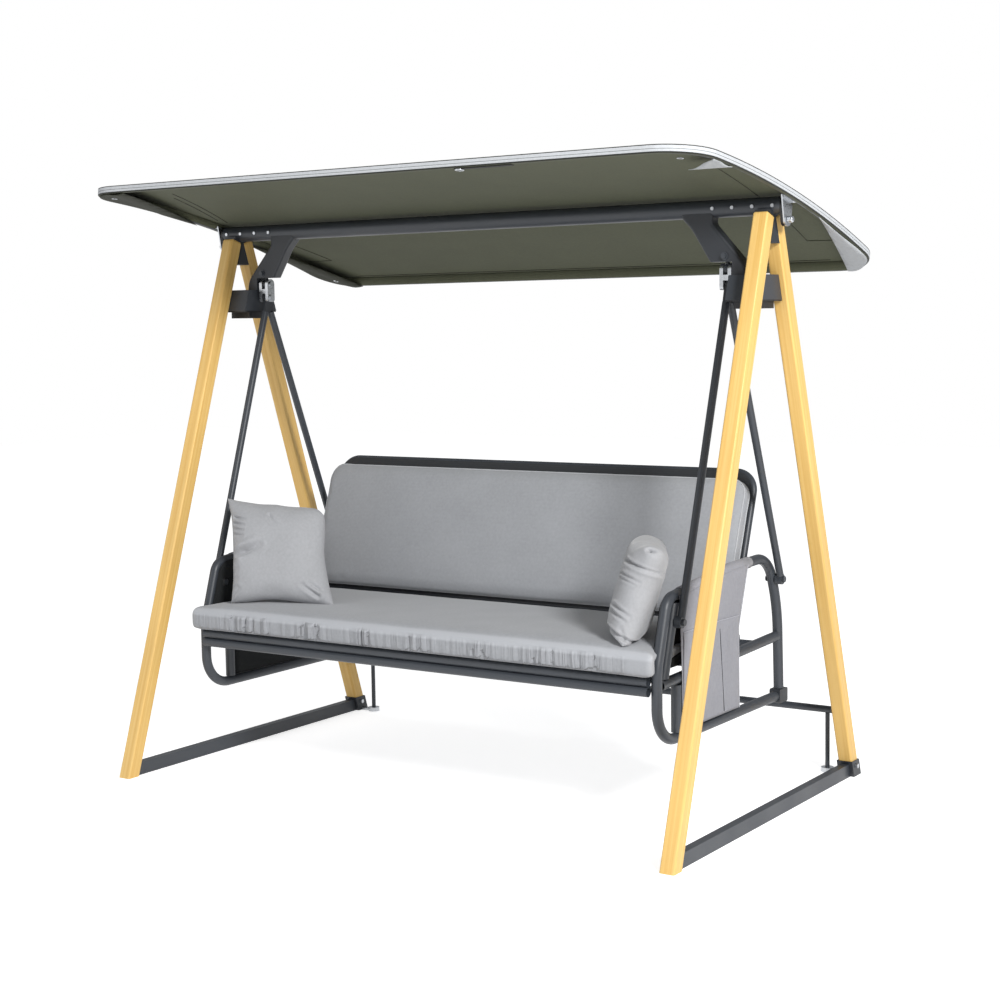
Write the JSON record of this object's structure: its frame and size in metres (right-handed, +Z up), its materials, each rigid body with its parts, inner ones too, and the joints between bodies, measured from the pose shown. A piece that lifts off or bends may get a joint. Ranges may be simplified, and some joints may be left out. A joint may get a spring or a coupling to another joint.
{
  "type": "canopy garden swing",
  "caption": "Garden swing: wooden A-frames and a round beam carry a hanging cushioned bench with a reclining backrest under a tilting arched fabric canopy.",
  "frame": {"origin": "on the floor under the middle of the top beam, the centre of the bounding box's base", "axes": "+X along the bench to the sitter's left as seen from the front, viewer's right; +Y to the back; +Z up"},
  "size_m": [2.1, 1.212, 1.8266],
  "materials": {
    "oiled_wood": "oiled, satin",
    "anthracite_steel": "powder coated, satin",
    "anthracite_casting": "powder coated, satin",
    "bright_steel": "zinc plated",
    "black_plastic": "matt",
    "seat_fabric": "woven polyester over foam",
    "pillow_fabric": "woven polyester over fibre fill",
    "canopy_fabric": "woven polyester",
    "panel_fabric": "woven mesh",
    "lining_fabric": "woven mesh",
    "sling_fabric": "woven mesh"
  },
  "bodies": {
    "stand": {"front_legs": "oiled_wood", "rear_legs": "oiled_wood", "top_beam": "anthracite_steel", "beam_end_caps": "anthracite_steel", "canopy_pivot_bolts": "bright_steel", "beam_screws": "bright_steel", "apex_saddles": "anthracite_steel", "cross_boxes": "anthracite_steel", "cross_box_bases": "black_plastic", "corner_braces": "anthracite_casting", "hang_eyes": "bright_steel", "brace_cross_bolts": "bright_steel", "base_stretchers": "anthracite_steel", "rear_shoes": "anthracite_steel", "shoe_bolts": "bright_steel", "rear_stretcher": "anthracite_steel", "rear_struts": "anthracite_steel", "strut_foot_pads": "anthracite_steel"},
    "bench": {"shackles": "bright_steel", "shackle_pins": "bright_steel", "hanger_apex_plates": "anthracite_steel", "hanger_rods_front": "anthracite_steel", "hanger_rods_rear": "anthracite_steel", "hanger_bolts": "anthracite_steel", "front_loop_left": "anthracite_steel", "front_loop_right": "anthracite_steel", "armrest_left": "anthracite_steel", "armrest_right": "anthracite_steel", "bottom_rails": "anthracite_steel", "rear_connectors": "anthracite_casting", "seat_rails": "anthracite_steel", "inner_uprights": "anthracite_steel", "seat_front_rails": "anthracite_steel", "seat_cross_tubes": "anthracite_steel", "seat_sling": "sling_fabric", "seat_cushion": "seat_fabric", "side_panel_left": "panel_fabric", "side_panel_right": "panel_fabric", "side_pockets": "panel_fabric", "side_linings": "lining_fabric", "hinge_plates": "anthracite_steel", "hinge_pins": "bright_steel", "pillow_left": "pillow_fabric", "pillow_right": "pillow_fabric"},
    "backrest": {"backrest_frame": "anthracite_steel", "backrest_hinge_eyes": "anthracite_steel", "backrest_cross_tube": "anthracite_steel", "backrest_sling": "sling_fabric", "backrest_cushion": "seat_fabric"},
    "canopy": {"canopy_sheet": "canopy_fabric", "canopy_bows": "anthracite_steel", "canopy_side_tubes": "anthracite_steel", "tilt_brackets": "anthracite_steel", "corner_pockets": "canopy_fabric", "canopy_grommets": "bright_steel", "tie_strap": "panel_fabric", "tie_ring": "bright_steel"},
    "knob_left": {"tilt_knob_left": "bright_steel"},
    "knob_right": {"tilt_knob_right": "bright_steel"}
  },
  "joints": [
    {"name": "bench_swing", "type": "hinge", "parent": "stand", "child": "bench", "pos_m": [0, 0, 1.535], "axis": [1, 0, 0], "range_deg": [-20, 20]},
    {"name": "backrest_recline", "type": "hinge", "parent": "bench", "child": "backrest", "pos_m": [0, 0.14, 0.475], "axis": [-1, 0, 0], "range_deg": [0, 68]},
    {"name": "canopy_tilt", "type": "hinge", "parent": "stand", "child": "canopy", "pos_m": [0, 0, 1.664], "axis": [1, 0, 0], "range_deg": [-25, 30]},
    {"name": "tilt_knob_left_turn", "type": "hinge", "parent": "stand", "child": "knob_left", "pos_m": [-1.027, 0, 1.664], "axis": [-1, 0, 0], "range_deg": [0, 270]},
    {"name": "tilt_knob_right_turn", "type": "hinge", "parent": "stand", "child": "knob_right", "pos_m": [1.027, 0, 1.664], "axis": [1, 0, 0], "range_deg": [0, 270]}
  ]
}
